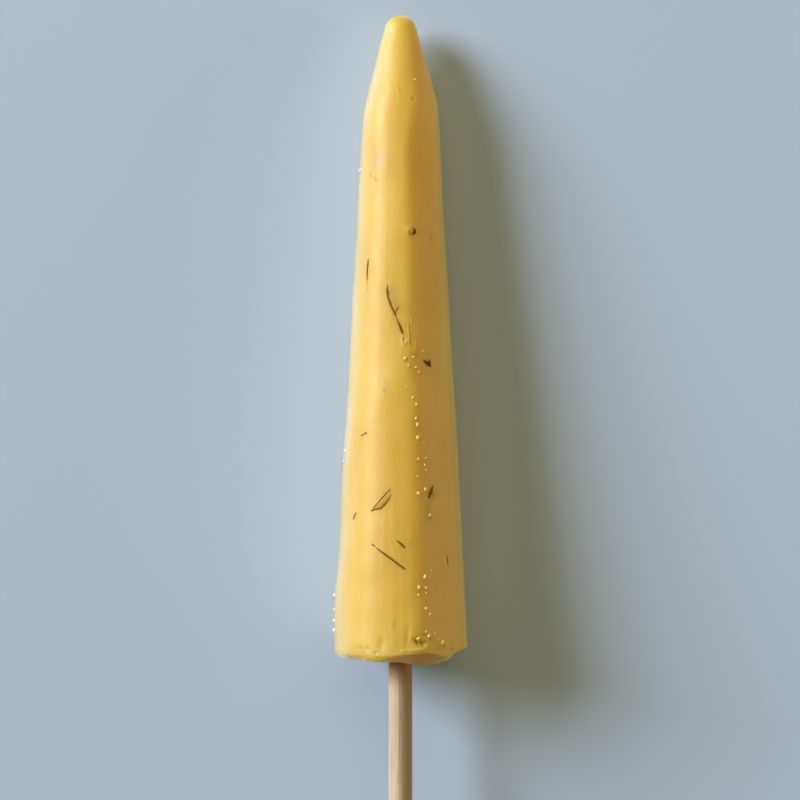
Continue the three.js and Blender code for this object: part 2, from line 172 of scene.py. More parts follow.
# Fine relief: rise, seed, how many sine waves, and the limits of their waves round the axis
# and of their radians for each millimetre along it.
LUMPS = (0.03, 11, 16, (3, 10), (-0.9, 0.9))
PATCHES = (0.5, 12, 6, (1, 5), (-0.12, 0.12))  # where the flutes are strong or faint
PATCH_MIDDLE = 0.5  # and their share in between
FLUTES = (0.007, 13, 14, (16, 48), (-0.05, 0.05))
GRAIN = (0.006, 14, 20, (30, 90), (-3, 3))
BASE_GRAIN = (0.05, 21, 12, (2, 12), (-3, 3))
RELIEF_END = 2  # the relief stops this far from the tip
RELIEF_FADE = 12  # and is full this much further down

# Pits: angle, height, radius and depth.
PITS = [
    (21.5, 115.6, 0.3, 0.35),
    (-36, 98.7, 0.3, 0.3),
    (-48, 100.2, 0.28, 0.25),
    (12.8, 4.9, 0.35, 0.45),
    (14.3, 4.4, 0.35, 0.4),
    (18.4, 4.2, 0.42, 0.5),
    (20.5, 6.0, 0.3, 0.25),
    (25.3, 5.1, 0.3, 0.25),
    (50, 2.7, 0.35, 0.3),
    (-21, 2.4, 0.28, 0.25),
    (-37.2, 3.2, 0.45, 0.13),
    (-28.5, 3.2, 0.45, 0.13),
    (-19.5, 1.4, 0.3, 0.2),
    (43.5, 87.2, 0.35, 0.2),
    (6.8, 61.6, 0.3, 0.2),
    (15.2, 62.7, 0.35, 0.25),
    (18.6, 62.6, 0.28, 0.2),
    (21.5, 59.2, 0.22, 0.2),
    (4.9, 66.1, 0.28, 0.25),
    (12.5, 54.1, 0.3, 0.1),
    (18.5, 47.6, 0.35, 0.18),
    (30.5, 34.4, 0.6, 0.18),
]

# Raised wrinkles and the lip at the rim: half-width, rise, and places from end to end.
WRINKLES = [
    (0.24, 0.3, [(2, 2.9), (7, 3.0), (13, 3.1), (19, 3.2), (22.5, 3.8), (23.7, 4.9)]),
    (0.4, 0.12, [(6.4, 2.9), (6.9, 4.2), (8.6, 5.6), (9.2, 6.6)]),
    (0.2, 0.15, [(8.6, 70.2), (9.9, 69), (9.2, 67.9), (10.4, 66.8), (9.8, 65.4)]),
    (0.16, 0.15, [(11.6, 70.9), (12.6, 70.2), (12.1, 69.1), (13, 68.1)]),
    (0.2, 0.18, [(17.8, 66), (16.4, 65.1), (17.2, 64.2), (15.4, 63.5)]),
    (0.17, 0.16, [(2.1, 67.2), (1.9, 65.9), (3.4, 64.9), (6.1, 65.3), (6.3, 66.6)]),
    (0.17, 0.12, [(22.2, 60.2), (25.8, 59.6), (29.8, 59.9)]),
    (0.24, 0.22, [(-26.5, 31.9), (-18, 33.0), (-10.4, 35.1)]),
    (0.2, 0.14, [(33.2, 36.4), (36.4, 35.0), (37.2, 33.6)]),
    (0.3, 0.1, [(46, 24), (47.2, 21.5), (46.6, 19), (46, 16.8)]),
    (0.3, 0.14, [(55, 2.6), (62, 2.9), (72, 3.2)]),
    (0.35, 0.08, [(-7.4, 118.4), (-3, 117), (2, 115.1)]),
]
WRINKLE_END = 0.06  # share of its length over which a wrinkle's end is blunt
WRINKLE_FULLNESS = 0.5  # power of its taper: the smaller, the fuller


def turn_from(centre, angle):
    """The shortest turn from one direction to another, in degrees."""
    return (np.asarray(angle, float) - centre + 180) % 360 - 180


def bell(angle, centre, width, power=2):
    """1 at the centre, falling to both sides: e to the minus power of the turn over the width."""
    return np.exp(-(np.abs(turn_from(centre, angle) / width) ** power))


def ripples(angle, height, waves):
    """A sum of sine waves over the wall, times the rise and over the root of their count. Each
    has a drawn whole number of waves round the axis, a drawn number of radians for each
    millimetre along it, and a drawn start."""
    rise, seed, count, waves_round, waves_along = waves
    draw = np.random.default_rng(seed)
    total = 0
    for _ in range(count):
        around = draw.integers(*waves_round)
        along = draw.uniform(*waves_along)
        start = draw.uniform(0, 2 * np.pi)
        total = total + np.sin(around * np.radians(angle) + along * height + start)
    return rise * (total / np.sqrt(count))


def section(angle, height):
    """Reach of the eight-sided section for an inner radius of 1: the power mean of the cosines
    to the flats over their distances, to the power of minus one. The flats on both sides of the
    shown ridge turn together by a slow wander along the height."""
    levels, turns = np.array(RIDGE_TURNS).T
    steps = [np.interp(height + offset, levels, turns) for offset in RIDGE_SOFTENING]
    wander = sum(steps) / len(steps)
    turned = angle - wander * bell(angle, RIDGE_ANGLE, RIDGE_WIDTH)
    total = 0
    for direction, distance in FLATS:
        reach = np.maximum(0, np.cos(np.radians(turned - direction))) / distance
        total = total + reach**FLAT_SHARPNESS
    extra = EXTRA_FLATNESS * bell(angle, FLAT_SIDE, FLAT_SIDE_WIDTH)
    flat_reach = total ** (-1 / FLAT_SHARPNESS)
    return ROUND_REACH + (FLATNESS + extra) * (flat_reach - ROUND_REACH)


DOME_CENTRE = ICE_LENGTH - TIP_RADIUS
CONE_TOP = DOME_CENTRE + TIP_RADIUS * np.sin(TIP_HALF_ANGLE)
CONE_TOP_RADIUS = TIP_RADIUS * np.cos(TIP_HALF_ANGLE)


def wall_radius(angle, height):
    """The slimmer of the point's cone and the tapering body, with a soft minimum between them
    that is crisper right of the ridge."""
    body = (BASE_RADIUS - TAPER * height) * section(angle, height)
    cone = CONE_TOP_RADIUS + (CONE_TOP - height) * np.tan(TIP_HALF_ANGLE)
    crisp = bell(angle, CRISP_ANGLE, CRISP_WIDTH)
    rounding = SHOULDER_ROUNDING + (CRISP_ROUNDING - SHOULDER_ROUNDING) * crisp
    return -rounding * np.log(np.exp(-cone / rounding) + np.exp(-body / rounding))


def distance_to_line(angle, height, places):
    """Distance in millimetres over the wall to the nearest straight stretch between places, and
    how far along the line that nearest spot is, from 0 to 1."""
    radius = BASE_RADIUS - TAPER * height
    nearest = np.full(np.shape(angle), np.inf)
    share = np.zeros(np.shape(angle))
    for i, ((a0, h0), (a1, h1)) in enumerate(zip(places[:-1], places[1:])):
        px = np.radians(turn_from(a0, angle)) * radius
        py = height - h0
        dx = np.radians(a1 - a0) * radius
        dy = h1 - h0
        t = np.clip((px * dx + py * dy) / (dx * dx + dy * dy), 0, 1)
        distance = np.hypot(px - t * dx, py - t * dy)
        share = np.where(distance < nearest, (i + t) / (len(places) - 1), share)
        nearest = np.minimum(nearest, distance)
    return nearest, share


def relief(angle, height):
    """How far the uneven surface stands off the plain wall: bell-shaped forms, a slow waver,
    lumps, fine flutes that the rolled mould left, pits and raised wrinkles."""
    radius = BASE_RADIUS - TAPER * height
    rise = np.zeros(np.shape(angle))
    for centre, level, width, length, amount in FORMS:
        across = np.radians(turn_from(centre, angle)) * radius / width
        rise += amount * np.exp(-(across**2) - ((height - level) / length) ** 2)
    for amount, waves, drift, start in WAVERS:
        rise += amount * np.sin(waves * np.radians(angle) + drift * height + start)
    rise += ripples(angle, height, LUMPS)
    patches = PATCH_MIDDLE + ripples(angle, height, PATCHES)
    rise += patches * ripples(angle, height, FLUTES)
    rise += ripples(angle, height, GRAIN)
    rise *= np.clip((ICE_LENGTH - height - RELIEF_END) / RELIEF_FADE, 0, 1)
    for centre, level, size, depth in PITS:
        across = np.radians(turn_from(centre, angle)) * radius / size
        rise -= depth * np.exp(-(across**2) - ((height - level) / size) ** 2)
    for half, amount, places in WRINKLES:
        distance, share = distance_to_line(angle, height, places)
        blunt = np.clip(share, WRINKLE_END, 1 - WRINKLE_END)
        taper = np.sin(np.pi * blunt) ** WRINKLE_FULLNESS
        rise += amount * taper * np.exp(-((distance / half) ** 2))
    return rise


def surface(angle, height, lift=0.0):
    """The point on the ice at an angle and a height: the wall's radius plus the relief and the
    lift, turned by the angle."""
    radius = wall_radius(angle, height) + relief(angle, height) + lift
    turn = np.radians(angle)
    return np.stack(np.broadcast_arrays(radius * np.sin(turn), height, radius * np.cos(turn)), -1)


def rim_radius(angle):
    """Height of the rim's arc: tighter at the right than at the left, taller at the bevel and
    lower at the chip."""
    plain = RIM_RADIUS - RIM_TIGHTENING * np.sin(np.radians(angle))
    bevel = BEVEL_RADIUS * bell(angle, BEVEL_ANGLE, BEVEL_WIDTH)
    return plain + bevel + CHIP_RADIUS * bell(angle, CHIP_ANGLE, CHIP_WIDTH, CHAMFER_POWER)


def chamfered(angle):
    """How far the rim's arc has become a chamfer, by a bell with abrupt ends at each chamfer,
    and how much deeper it goes in for that."""
    share = np.zeros(np.shape(angle))
    deeper = np.zeros(np.shape(angle))
    for centre, width, inset in CHAMFERS:
        here = bell(angle, centre, width, CHAMFER_POWER)
        share = np.maximum(share, here)
        deeper = deeper + inset * here
    return share, deeper


def smooth_step(value, limits):
    """0 at the first limit and 1 at the second, with a level start and end."""
    share = np.clip((value - limits[0]) / (limits[1] - limits[0]), 0, 1)
    return share * share * (3 - 2 * share)


def base_height(x):
    """The base steps up left of its middle and lifts by a square from there, sags a little
    right of its middle, and is worn away in a soft slope at the right."""
    step = LEFT_STEP * smooth_step(x, LEFT_STEP_RANGE)
    lift = LEFT_LIFT * np.minimum(0, x / BASE_RADIUS) ** 2
    sag = SAG * np.exp(-(((x - SAG_PLACE) / SAG_WIDTH) ** 2))
    wear = RIGHT_WEAR * smooth_step(x, RIGHT_WEAR_RANGE)
    return step + lift - sag + wear


def rim_start(angle):
    """The height where the wall ends: the base's height plus that of the rim's arc."""
    return base_height(BASE_RADIUS * np.sin(np.radians(angle))) + rim_radius(angle)


def rim_point(angle, sweep):
    """A quarter arc that turns the wall in by the rim's inset as it goes down. Over a chamfer
    it straightens and its upper edge is crisp."""
    drop = np.sin(sweep)
    height = rim_start(angle) - rim_radius(angle) * drop
    wall = surface(angle, height)
    crisp, deeper = chamfered(angle)
    inset = np.minimum(rim_radius(angle), RIM_INSET) + deeper
    turned_in = (1 - np.cos(sweep)) * (1 - crisp) + drop * crisp
    reach = np.hypot(wall[..., 0], wall[..., 2]) - inset * turned_in
    turn = np.radians(angle)
    return np.stack([reach * np.sin(turn), height, reach * np.cos(turn)], -1)


ICE_COLUMNS = 232
CROWDING = 34  # degrees that a column moves at most towards the shown side
DOME_ROWS = 14
WALL_ROWS = 368
# Where the wall has more rows: height, reach along the lolly and how many times more.
FINE_PARTS = [(3, 5, 3.5), (66, 7, 2.6), (88, 3, 1.6), (28, 9, 1.6), (114, 4, 1)]
ROW_STEPS = 2000  # the rows' places are worked out in this many steps
RIM_ROWS = 14
BASE_ROWS = 16
SOCKET_ROWS = 6
SOCKET_OVERLAP = 0.03  # the ice closes on the wood with no gap


def ice_points():
    """Rows of points round the axis, from the tip over the dome, the wall and the rim's arc,
    across the base to the stick, and up the socket that the stick fills."""
    columns = np.linspace(-180, 180, ICE_COLUMNS, endpoint=False)
    angle = (columns - CROWDING * np.sin(np.radians(columns)))[None, :]
    turn = np.radians(angle)
    ones = np.ones_like(angle)

    sweep = (np.pi / 2 - TIP_HALF_ANGLE) * np.arange(1, DOME_ROWS)[:, None] / DOME_ROWS
    reach = TIP_RADIUS * np.sin(sweep)
    height = DOME_CENTRE + TIP_RADIUS * np.cos(sweep)
    dome = np.stack([reach * np.sin(turn), height * ones, reach * np.cos(turn)], -1)

    down = np.linspace(CONE_TOP, 0, ROW_STEPS)
    crowds = [
        more * np.exp(-(((down - level) / length) ** 2)) for level, length, more in FINE_PARTS
    ]
    density = 1 + sum(crowds)
    rows = np.cumsum(density) - density[0]
    even = np.linspace(0, rows[-1], WALL_ROWS)
    share = np.interp(even, rows, np.linspace(0, 1, ROW_STEPS))[:, None]
    wall = surface(angle * np.ones_like(share), CONE_TOP + (rim_start(angle) - CONE_TOP) * share)

    sweep = np.pi / 2 * np.arange(1, RIM_ROWS + 1)[:, None] / RIM_ROWS
    rim = rim_point(angle * np.ones_like(sweep), sweep * ones)

    edge = rim[-1]
    mouth = STICK_RADIUS - SOCKET_OVERLAP
    share = np.arange(1, BASE_ROWS + 1)[:, None] / BASE_ROWS
    x = edge[:, 0] + (mouth * np.sin(turn) - edge[:, 0]) * share
    z = edge[:, 2] + (mouth * np.cos(turn) - edge[:, 2]) * share
    lift = (edge[:, 1] - base_height(edge[:, 0])) * (1 - share) ** 2
    grain = ripples(angle, 3 * share, BASE_GRAIN) * np.sin(np.pi * share)
    base = np.stack([x, base_height(x) + lift + grain, z], -1)

    depth = (STICK_LENGTH - STICK_OUT) * np.arange(1, SOCKET_ROWS + 1)[:, None] / SOCKET_ROWS
    socket = np.stack([mouth * np.sin(turn) * np.ones_like(depth), depth * ones,
                       mouth * np.cos(turn) * np.ones_like(depth)], -1)
    return np.concatenate([dome, wall, rim, base, socket])


def closed_skin(name, rows, first, last):
    """A mesh from rows of points round an axis, closed round, with a fan to one point at each
    end. It is four-sided between neighbouring rows."""
    count, columns = rows.shape[:2]
    points = np.concatenate([[first], rows.reshape(-1, 3), [last]])
    ring = np.arange(columns)
    after = np.roll(ring, -1)
    start = 1 + columns * np.arange(count - 1)[:, None]
    corners = start + ring, start + columns + ring, start + columns + after, start + after
    quads = np.stack(corners, -1)
    top = np.stack([np.zeros_like(ring), 1 + ring, 1 + after], -1)
    low = 1 + columns * (count - 1)
    bottom = np.stack([np.full_like(ring, len(points) - 1), low + after, low + ring], -1)
    mesh = bpy.data.meshes.new(name)
    faces = quads.reshape(-1, 4).tolist() + top.tolist() + bottom.tolist()
    mesh.from_pydata(laid_down(points).tolist(), [], faces)
    mesh.shade_smooth()
    return mesh


def new_piece(name, mesh):
    """A new object with the mesh, at the origin, in the scene."""
    piece = bpy.data.objects.new(name, mesh)
    bpy.context.scene.collection.objects.link(piece)
    return piece


ice_rows = ice_points()
ice_ends = [0, ICE_LENGTH, 0], [0, STICK_LENGTH - STICK_OUT, 0]
ice_mesh = closed_skin("ice_skin", ice_rows, *ice_ends)

# The lolly has melted flat where it rests.
flat_points = np.empty(len(ice_mesh.vertices) * 3)
ice_mesh.vertices.foreach_get("co", flat_points)
flat_points = flat_points.reshape(-1, 3)
flat_points[:, 2] = np.maximum(0, flat_points[:, 2])
ice_mesh.vertices.foreach_set("co", flat_points.ravel())
ice_piece = new_piece("ice_body", ice_mesh)


def node_in(nodes, kind, **values):
    """A new shader node with its plain settings and its sockets' values."""
    node = nodes.new(kind)
    for key, value in values.items():
        if key in node.inputs:
            node.inputs[key].default_value = value
        else:
            setattr(node, key, value)
    return node


def blank_material(name):
    """A material with only a Principled shader and its output."""
    material = bpy.data.materials.new(name)
    material.use_nodes = True
    nodes = material.node_tree.nodes
    return material, nodes, material.node_tree.links, nodes["Principled BSDF"]


def noise(nodes, links, place, scale, detail, stretch=None):
    """A noise pattern on Object coordinates, drawn out along Y where stretch is given."""
    source = place
    if stretch is not None:
        mapping = node_in(nodes, "ShaderNodeMapping")
        mapping.inputs["Scale"].default_value = (1, stretch, 1)
        links.new(place, mapping.inputs["Vector"])
        source = mapping.outputs["Vector"]
    pattern = node_in(nodes, "ShaderNodeTexNoise", Scale=scale, Detail=detail)
    links.new(source, pattern.inputs["Vector"])
    return pattern.outputs["Fac"]


def ramp(nodes, links, value, low, high):
    """The value stretched so that low becomes 0 and high becomes 1."""
    node = node_in(nodes, "ShaderNodeMapRange")
    node.inputs["From Min"].default_value = low
    node.inputs["From Max"].default_value = high
    links.new(value, node.inputs["Value"])
    return node.outputs["Result"]


def mixed(nodes, links, share, first, second):
    """Two colours mixed by a share: each is a socket or a plain colour."""
    node = node_in(nodes, "ShaderNodeMix", data_type="RGBA")
    links.new(share, node.inputs["Factor"])
    for socket, colour in ((node.inputs[6], first), (node.inputs[7], second)):
        if isinstance(colour, tuple):
            socket.default_value = (*colour, 1)
        else:
            links.new(colour, socket)
    return node.outputs[2]


def scaled(nodes, links, value, factor):
    """The value times a plain factor."""
    node = node_in(nodes, "ShaderNodeMath", operation="MULTIPLY")
    links.new(value, node.inputs[0])
    node.inputs[1].default_value = factor
    return node.outputs[0]


ICE_YELLOW = (0.83, 0.55, 0.055)
ICE_PALE = (0.87, 0.61, 0.095)
ICE_DEEP = (0.80, 0.50, 0.042)
# Stain colour, also used as painted shade in the pits, in a streak and in the lip's pits.
STAIN_AND_SHADE = (0.38, 0.31, 0.005)
SCUFF = (0.62, 0.48, 0.30)
# Painted shade on the rim's chamfers, which face down away from the light.
CHAMFER_SHADE = (0.67, 0.36, 0.003)
# Pale frost, which on the lit left flank also stands in for the highlight there: partly a painted
# highlight.
FROST_HIGHLIGHT = (0.86, 0.81, 0.68)
SHEEN_WARM = (1.0, 0.9, 0.55, 1)


def ice_material():
    """Milky yellow ice: light goes a little way in and comes out warmer, the colour clouds
    from paler to deeper, and the frozen skin is satin with a fine grain."""
    material, nodes, links, shader = blank_material("milk_ice")
    place = nodes.new("ShaderNodeTexCoord").outputs["Object"]
    clouds = noise(nodes, links, place, scale=60, detail=3)
    clouds = ramp(nodes, links, clouds, low=0.35, high=0.65)
    colour = mixed(nodes, links, clouds, ICE_DEEP, ICE_YELLOW)
    streaks = noise(nodes, links, place, scale=420, detail=3, stretch=0.12)
    streaks = ramp(nodes, links, streaks, low=0.4, high=0.75)
    streaks = scaled(nodes, links, streaks, factor=0.35)
    colour = mixed(nodes, links, streaks, colour, ICE_PALE)
    # The frost is partly a painted highlight on the lit left flank, the stain is partly painted
    # shade in pits and a streak, the scuffs are real, and the rim's chamfers get painted shade.
    for name, tint in (("frost_and_highlight", FROST_HIGHLIGHT), ("stain_and_shade", STAIN_AND_SHADE), ("scuff", SCUFF), ("chamfer_shade", CHAMFER_SHADE)):
        spot = node_in(nodes, "ShaderNodeAttribute", attribute_name=name)
        colour = mixed(nodes, links, spot.outputs["Fac"], colour, tint)
    links.new(colour, shader.inputs["Base Color"])
    shader.inputs["Subsurface Weight"].default_value = 0.7
    shader.inputs["Subsurface Radius"].default_value = (1.0, 0.72, 0.09)
    shader.inputs["Subsurface Scale"].default_value = 0.012
    shader.inputs["IOR"].default_value = 1.5
    shader.inputs["Specular IOR Level"].default_value = 1.0
    shader.inputs["Sheen Weight"].default_value = 1.0
    shader.inputs["Sheen Roughness"].default_value = 0.42
    shader.inputs["Sheen Tint"].default_value = SHEEN_WARM
    grain = noise(nodes, links, place, scale=900, detail=4)
    satin = node_in(nodes, "ShaderNodeMapRange")
    satin.inputs["To Min"].default_value = 0.45
    satin.inputs["To Max"].default_value = 0.62
    links.new(grain, satin.inputs["Value"])
    links.new(satin.outputs["Result"], shader.inputs["Roughness"])
    bump = node_in(nodes, "ShaderNodeBump", Strength=0.35, Distance=0.00008)
    links.new(grain, bump.inputs["Height"])
    links.new(bump.outputs["Normal"], shader.inputs["Normal"])
    return material


ice_look = ice_material()
ice_mesh.materials.append(ice_look)
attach(ice_piece, "root")
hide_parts("ice")


# The threads
# Fine dark shreds stirred into the mix before it froze. They lie in the skin of the ice, some
# standing proud and wet, some dipping under it, where they show through as a brownish stain.

# Half-width, tone from dark brown (0) to olive (1), and places from end to end: angle, height,
# how far the thread's middle stands above the surface, and its share of the half-width.
THREADS = [
    (0.2, 0.45, [(-43.5, 82.7, 0.05, 1), (-44.6, 81, 0.1, 0.8), (-44.8, 79.6, 0.02, 0.7),
                 (-44.2, 78, -0.13, 0.7), (-42.6, 76.2, -0.2, 0.6)]),
    (0.24, 0.95, [(-15.4, 77.3, 0.02, 0.8), (-16, 76, 0.1, 1), (-14, 74.4, 0.12, 0.8),
                  (-11, 73, 0.12, 0.9), (-6.4, 71.3, 0.06, 0.9), (-4.6, 70.6, 0, 0.6)]),
    (0.26, 0.3, [(-5, 70.8, -0.05, 0.4), (-2.6, 69.6, 0.08, 0.5), (-0.4, 68.7, 0.12, 0.9),
                 (2.2, 67.3, 0.14, 1.3)]),
    (0.12, 0.9, [(-6, 71.5, 0, 1), (-3.4, 72.4, 0.0, 1), (-1.6, 73, -0.08, 0.8)]),
    (0.33, 0.1, [(16, 89, 0.03, 0.6), (17.4, 88.5, 0.1, 1.1), (16.8, 88, 0.1, 1.1),
                 (14.6, 87.5, 0.02, 0.6)]),
    (0.08, 0.5, [(11.1, 88.6, 0.02, 1), (10.5, 88, 0.04, 1), (11.1, 87.4, -0.02, 1)]),
    (0.3, 0.05, [(26.3, 61.9, 0.1, 0.7), (31, 61.3, 0.16, 1.1), (35.8, 60.6, 0.1, 0.9)]),
    (0.2, 0.05, [(33.2, 62, 0.08, 0.7), (34.2, 61.5, 0.16, 1), (33.6, 60.9, 0.1, 1)]),
    (0.15, 0.9, [(-9, 35.9, -0.02, 0.7), (-13.5, 34.8, 0.08, 1), (-18.5, 33.6, 0.1, 1),
                 (-28, 31.3, 0.0, 1)]),
    (0.16, 0.7, [(-8.6, 34.5, -0.02, 0.7), (-12, 33.4, 0.08, 1), (-18.5, 31.9, 0.1, 1.1),
                 (-24, 31.5, 0.08, 1), (-28.5, 31.1, 0.0, 1.2)]),
    (0.14, 0.8, [(-46.3, 30.8, 0.04, 1), (-48.5, 30, 0.06, 0.8), (-50.3, 29.2, 0.0, 1)]),
    (0.2, 0.35, [(-26.8, 24.4, 0.1, 1.2), (-24.3, 24.1, 0.02, 0.8), (-22.4, 23.8, -0.14, 0.7),
                 (-19.5, 23.3, 0.04, 0.7), (-12, 22.1, 0.12, 0.9), (-3.5, 20.7, 0.14, 1.1),
                 (3.4, 19.5, 0.12, 1.4)]),
    (0.2, 0.5, [(-3.2, 25.3, 0.08, 0.8), (0.5, 24.5, 0.12, 1), (4.2, 23.7, 0.08, 1)]),
    (0.3, 0.5, [(33.5, 36.2, 0.05, 0.7), (31.5, 35.2, 0.14, 1), (29.8, 34.3, 0.1, 1),
                (27.4, 33.7, 0.0, 0.6)]),
    (0.15, 0.9, [(48.4, 22.3, -0.09, 1), (49, 21, -0.04, 1), (49.2, 19.7, -0.1, 1)]),
    (0.22, 0.6, [(-43, 46.5, 0.1, 1.1), (-41.3, 46.6, 0.02, 0.7), (-39.6, 46.8, -0.1, 0.6),
                 (-37.6, 47, 0.04, 0.8), (-36.2, 47.1, 0.1, 1)]),
]
# Threads wholly under the skin show as a faint stain only, and two entries below are painted
# shade: its strength, reach and places.
DEEP_STAINS_AND_SHADE = [
    (0.5, 0.38, [(-17.5, 55.9), (-16.3, 55.5)]),
    (0.6, 0.3, [(-38, 99.2), (-36.5, 98.9)]),
    (0.3, 0.38, [(43.2, 87.6), (44, 86.4)]),
    (0.45, 0.35, [(-4.8, 8.9), (-5.4, 7.6)]),
    (0.5, 0.3, [(-48.3, 100.3), (-47, 100)]),
    (0.3, 0.5, [(9.2, 24.9), (9, 24.2)]),
    (0.38, 1.3, [(-11.5, 76), (-8.5, 74.4), (-4.5, 73)]),
    # Painted shade: a darker streak on the shaded side of the ridge.
    (0.3, 0.9, [(27.5, 32.8), (27, 29.5)]),
    (0.4, 0.3, [(3.2, 66.5), (4.3, 65.3)]),
    (0.8, 0.16, [(9.9, 69.5), (9.6, 68), (10.6, 66.8), (10.2, 65.2)]),
    # Painted shade in the V of pits along the lip.
    (0.9, 0.28, [(12.9, 4.9), (14.6, 4.2), (16.4, 4.8), (18.8, 3.9), (20.8, 4.7)]),
    (0.3, 0.7, [(33.4, 34.2), (30, 33)]),
    (0.25, 0.4, [(-16.8, 57.3), (-15.4, 56.9)]),
    (0.4, 0.35, [(-44.6, 79.2), (-44, 77.8), (-42.6, 76)]),
]
THREAD_SIDES = 12
THREAD_ROWS = 48
THREAD_FLATNESS = 0.85  # its thickness over its width
THREAD_END = 0.02  # share of its length over which an end is blunt
THREAD_TAPER = 0.45  # power of its taper: the smaller, the fuller
THREAD_SEED = 100  # of the first thread
KINK_WAVES = 4
KINK_RATES = (6, 26)
KINK_STARTS = (0, 6)
KINK_TURN = 0.35  # degrees to the side
KINK_SLIDE = 0.05  # millimetres along the height
KINK_LAG = 7  # rows that the slide comes after the turn
KINK_SWELL = 0.16  # share of the half-width

# Threads on the hidden sides: how many, and the limits that their places are drawn from.
HIDDEN_THREADS = 14
HIDDEN_ANGLES = (104, 256)
HIDDEN_HEIGHTS = (10, 108)
HIDDEN_LENGTHS = (2, 8.5)
HIDDEN_SHORTNESS = 1.5  # power that makes short ones common
HIDDEN_LEANS = (-70, 70)
HIDDEN_BENDS = (-1.2, 1.2)
HIDDEN_HALVES = (0.2, 0.34)
HIDDEN_FINENESS = 0.85  # of the drawn half-width
HIDDEN_RISES = (0.0, 0.12, 0.02)  # at one end, in the middle and at the other end
HIDDEN_TONE_STEP = 0.37
UNDERSIDE_HALF_WIDTH = 27
SEED = 4711
DRAW_FACTOR = 16807
DRAW_LIMIT = 2147483647


def make_draw(seed):
    """Numbers from 0 to 1, always the same ones: the state is multiplied by the factor and cut
    to its remainder by the limit each time."""
    state = seed

    def draw():
        nonlocal state
        state = state * DRAW_FACTOR % DRAW_LIMIT
        return state / DRAW_LIMIT

    return draw


def between(limits, share):
    """The value at a share of the way from the first limit to the second."""
    return limits[0] + (limits[1] - limits[0]) * share


def hidden_threads(draw):
    """A short run through a drawn place, in a drawn direction and with a slight bend, for each
    thread on the hidden sides that stays clear of the underside."""
    threads = []
    while len(threads) < HIDDEN_THREADS:
        angle = between(HIDDEN_ANGLES, draw())
        height = between(HIDDEN_HEIGHTS, draw())
        length = between(HIDDEN_LENGTHS, draw() ** HIDDEN_SHORTNESS)
        lean = np.radians(between(HIDDEN_LEANS, draw()))
        bend = between(HIDDEN_BENDS, draw())
        half = between(HIDDEN_HALVES, draw())
        degrees_per_mm = 180 / (np.pi * (BASE_RADIUS - TAPER * height))
        across = np.sin(lean) * length * degrees_per_mm
        along = np.cos(lean) * length
        start, middle, end = HIDDEN_RISES
        places = [
            (angle - across / 2, height - along / 2, start, 1),
            (angle + bend * degrees_per_mm, height, middle, 1),
            (angle + across / 2, height + along / 2, end, 1),
        ]
        if all(abs(turn_from(180, place[0])) > UNDERSIDE_HALF_WIDTH for place in places):
            tone = (len(threads) * HIDDEN_TONE_STEP) % 1
            threads.append((half * HIDDEN_FINENESS, tone, places))
    return threads


JUST_SHORT = 1e-9  # the last step stays on the last cubic


def smooth_path(places, count):
    """A Catmull-Rom curve through the places, at count even steps of its parameter: cubics that
    pass each place in the direction from the one before it to the one after it."""
    p = np.asarray(places, float)
    p = np.concatenate([[2 * p[0] - p[1]], p, [2 * p[-1] - p[-2]]])
    t = np.linspace(0, len(places) - 1 - JUST_SHORT, count)
    i = t.astype(int)
    t = (t - i)[:, None]
    a, b, c, d = p[i], p[i + 1], p[i + 2], p[i + 3]
    return 0.5 * (
        2 * b
        + (c - a) * t
        + (2 * a - 5 * b + 4 * c - d) * t**2
        + (3 * b - a - 3 * c + d) * t**3
    )


def unit(vectors):
    """Each vector over its own length."""
    return vectors / np.linalg.norm(vectors, axis=-1, keepdims=True)


def thread_rows(half, places, seed):
    """Rings of points along a thread: its middle runs at the given rise over the ice, its
    half-width tapers to both ends and swells and kinks a little as it goes."""
    path = smooth_path(places, THREAD_ROWS)
    draw = np.random.default_rng(seed)
    share = np.linspace(0, 1, THREAD_ROWS)
    waves = [
        np.sin(draw.uniform(*KINK_RATES) * share + draw.uniform(*KINK_STARTS))
        for _ in range(KINK_WAVES)
    ]
    kinks = sum(waves) / KINK_WAVES
    angle = path[:, 0] + KINK_TURN * kinks
    height = path[:, 1] + KINK_SLIDE * np.roll(kinks, KINK_LAG)
    middle = surface(angle, height, path[:, 2])
    along = unit(np.gradient(middle, axis=0))
    outward = surface(angle, height, path[:, 2] + 1) - middle
    side = unit(np.cross(along, outward))
    up = unit(np.cross(side, along))
    taper = np.sin(np.pi * between((THREAD_END, 1 - THREAD_END), share)) ** THREAD_TAPER
    girth = half * path[:, 3] * taper * (1 + KINK_SWELL * kinks)
    turn = np.linspace(0, 2 * np.pi, THREAD_SIDES, endpoint=False)[None, :, None]
    ring = np.cos(turn) * side[:, None] + THREAD_FLATNESS * np.sin(turn) * up[:, None]
    return middle[:, None] + girth[:, None, None] * ring, middle


def give_points(mesh, name, values):
    """Stores a number, or one number for each point, on the mesh for its material to read."""
    whole = np.broadcast_to(values, len(mesh.vertices)).astype(np.float32)
    mesh.attributes.new(name, "FLOAT", "POINT").data.foreach_set("value", whole)


shown_and_hidden = THREADS + hidden_threads(make_draw(SEED))
thread_meshes = []
for number, (half, tone, places) in enumerate(shown_and_hidden):
    rows, middle = thread_rows(half, places, THREAD_SEED + number)
    ends = 2 * middle[0] - middle[1], 2 * middle[-1] - middle[-2]
    one = closed_skin("thread", rows, *ends)
    give_points(one, "tone", tone)
    thread_meshes.append(one)


def joined(name, meshes):
    """One mesh from several, made by joining throwaway objects."""
    objects = [new_piece(f"{name}_{i}", mesh) for i, mesh in enumerate(meshes)]
    with bpy.context.temp_override(
        active_object=objects[0], selected_editable_objects=objects, selected_objects=objects
    ):
        bpy.ops.object.join()
    objects[0].name = name
    return objects[0]


threads_piece = joined("threads", thread_meshes)

THREAD_BROWN = (0.13, 0.048, 0.003)
THREAD_OLIVE = (0.29, 0.19, 0.012)
THREAD_MOTTLE = (0.2, 0.12, 0.02)


